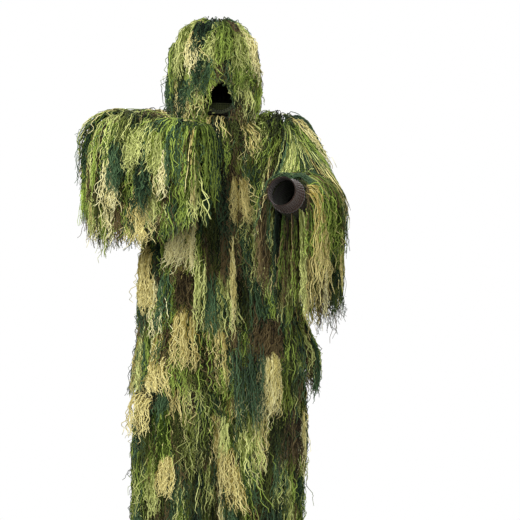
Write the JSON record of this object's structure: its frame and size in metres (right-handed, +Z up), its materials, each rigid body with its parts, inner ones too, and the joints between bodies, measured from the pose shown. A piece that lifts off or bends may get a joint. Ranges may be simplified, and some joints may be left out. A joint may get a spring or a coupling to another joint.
{
  "type": "ghillie suit",
  "caption": "Hooded camouflage jacket and trousers covered in tiers of loose green, brown and tan yarn, shaped as worn with one arm raised and one forward.",
  "frame": {"origin": "base of the wearer's neck, in the middle of the collar", "axes": "+Z up along the standing wearer, -Y out of the chest, +X towards the wearer's left"},
  "size_m": [0.747, 0.6847, 1.7298],
  "materials": {
    "cloth": "matte",
    "cuff_rib": "matte",
    "elastic": "matte",
    "zip_tape": "matte",
    "zip_metal": "satin",
    "yarn_green": "matte",
    "yarn_dark": "matte",
    "yarn_tan": "matte"
  },
  "bodies": {
    "jacket": {"jacket_back_panel": "cloth", "jacket_front_panel_right": "cloth", "jacket_front_panel_left": "cloth", "jacket_throat_tab": "cloth", "jacket_hem_elastic": "elastic", "zip_tape_right": "zip_tape", "zip_tape_left": "zip_tape", "zip_chain": "zip_metal", "zip_bottom_stop": "zip_metal", "shoulder_fold_right": "cloth", "shoulder_fold_left": "cloth", "trouser_waistband": "elastic", "trouser_seat_front": "cloth", "trouser_seat_back": "cloth", "trouser_crotch_fold": "cloth", "yarn_jacket_tier_1": "yarn_green", "yarn_jacket_tier_2": "yarn_dark", "yarn_jacket_tier_3": "yarn_tan", "yarn_jacket_tier_4": "yarn_green", "yarn_jacket_tier_5": "yarn_dark"},
    "zip_slider": {"zip_slider": "zip_metal"},
    "zip_tab": {"zip_pull_tab": "zip_metal"},
    "collar": {"collar": "cloth"},
    "hood": {"hood_centre_panel": "cloth", "hood_side_panel_right": "cloth", "hood_side_panel_left": "cloth", "hood_neck_band": "cloth", "hood_face_hem": "elastic", "yarn_hood_crown": "yarn_green", "yarn_hood_mantle": "yarn_dark"},
    "upper_sleeve_right": {"sleeve_upper_right": "cloth", "elbow_fold_right": "cloth", "yarn_sleeve_upper_right": "yarn_green", "yarn_elbow_right": "yarn_dark"},
    "forearm_right": {"sleeve_forearm_right": "cloth", "cuff_right": "cuff_rib", "yarn_forearm_right": "yarn_tan"},
    "thigh_right": {"trouser_thigh_right": "cloth", "knee_fold_right": "cloth", "yarn_thigh_right": "yarn_green"},
    "shin_right": {"trouser_shin_right": "cloth", "ankle_elastic_right": "elastic", "yarn_knee_right": "yarn_dark", "yarn_shin_right": "yarn_tan"},
    "upper_sleeve_left": {"sleeve_upper_left": "cloth", "elbow_fold_left": "cloth", "yarn_sleeve_upper_left": "yarn_green", "yarn_elbow_left": "yarn_dark"},
    "forearm_left": {"sleeve_forearm_left": "cloth", "cuff_left": "cuff_rib", "yarn_forearm_left": "yarn_tan"},
    "thigh_left": {"trouser_thigh_left": "cloth", "knee_fold_left": "cloth", "yarn_thigh_left": "yarn_green"},
    "shin_left": {"trouser_shin_left": "cloth", "ankle_elastic_left": "elastic", "yarn_knee_left": "yarn_dark", "yarn_shin_left": "yarn_tan"}
  },
  "joints": [
    {"name": "zip_slide", "type": "slide", "parent": "jacket", "child": "zip_slider", "axis": [0, 0, -1], "range_m": [0, 0.525]},
    {"name": "zip_tab_swing", "type": "hinge", "parent": "zip_slider", "child": "zip_tab", "pos_m": [0, -0.137, -0.13735], "axis": [-1, 0, 0], "range_deg": [0, 80]},
    {"name": "hood_turn", "type": "hinge", "parent": "jacket", "child": "collar", "pos_m": [0, 0, 0.02], "axis": [0, 0, 1], "range_deg": [-45, 45], "deforming": ["yarn_hood_mantle", "yarn_jacket_tier_1"]},
    {"name": "hood_nod", "type": "hinge", "parent": "collar", "child": "hood", "pos_m": [-0.014, 0, 0.04], "axis": [0.9781, 0.2079, 0], "range_deg": [-20, 3]},
    {"name": "shoulder_right", "type": "hinge", "parent": "jacket", "child": "upper_sleeve_right", "pos_m": [-0.18, -0.006, -0.086], "axis": [0, 0, 1], "range_deg": [-20, 10], "deforming": ["shoulder_fold_right", "yarn_sleeve_upper_right"]},
    {"name": "elbow_right", "type": "hinge", "parent": "upper_sleeve_right", "child": "forearm_right", "pos_m": [-0.294, -0.16, -0.102], "axis": [-0.0391, -0.0746, 0.9964], "range_deg": [-28, 14], "deforming": ["elbow_fold_right", "yarn_elbow_right", "yarn_forearm_right"]},
    {"name": "shoulder_left", "type": "hinge", "parent": "jacket", "child": "upper_sleeve_left", "pos_m": [0.184, -0.008, -0.088], "axis": [-1, 0, 0], "range_deg": [-2, 25], "deforming": ["shoulder_fold_left", "yarn_sleeve_upper_left"]},
    {"name": "elbow_left", "type": "hinge", "parent": "upper_sleeve_left", "child": "forearm_left", "pos_m": [0.276, -0.218, -0.292], "axis": [-0.8072, 0.1894, -0.559], "range_deg": [-28, 14], "deforming": ["elbow_fold_left", "yarn_elbow_left", "yarn_forearm_left"]},
    {"name": "hip_right", "type": "hinge", "parent": "jacket", "child": "thigh_right", "pos_m": [-0.1, 0.006, -0.56], "axis": [-1, 0, 0], "range_deg": [-12, 25], "deforming": ["yarn_thigh_right", "trouser_crotch_fold", "yarn_jacket_tier_5"]},
    {"name": "knee_right", "type": "hinge", "parent": "thigh_right", "child": "shin_right", "pos_m": [-0.132, 0, -0.985], "axis": [1, 0, 0], "range_deg": [0, 38], "deforming": ["knee_fold_right", "yarn_knee_right", "yarn_shin_right"]},
    {"name": "hip_left", "type": "hinge", "parent": "jacket", "child": "thigh_left", "pos_m": [0.125, 0.006, -0.56], "axis": [-1, 0, 0], "range_deg": [-12, 25], "deforming": ["yarn_thigh_left"]},
    {"name": "knee_left", "type": "hinge", "parent": "thigh_left", "child": "shin_left", "pos_m": [0.13, 0, -0.985], "axis": [1, 0, 0], "range_deg": [0, 38], "deforming": ["knee_fold_left", "yarn_knee_left", "yarn_shin_left"]}
  ]
}
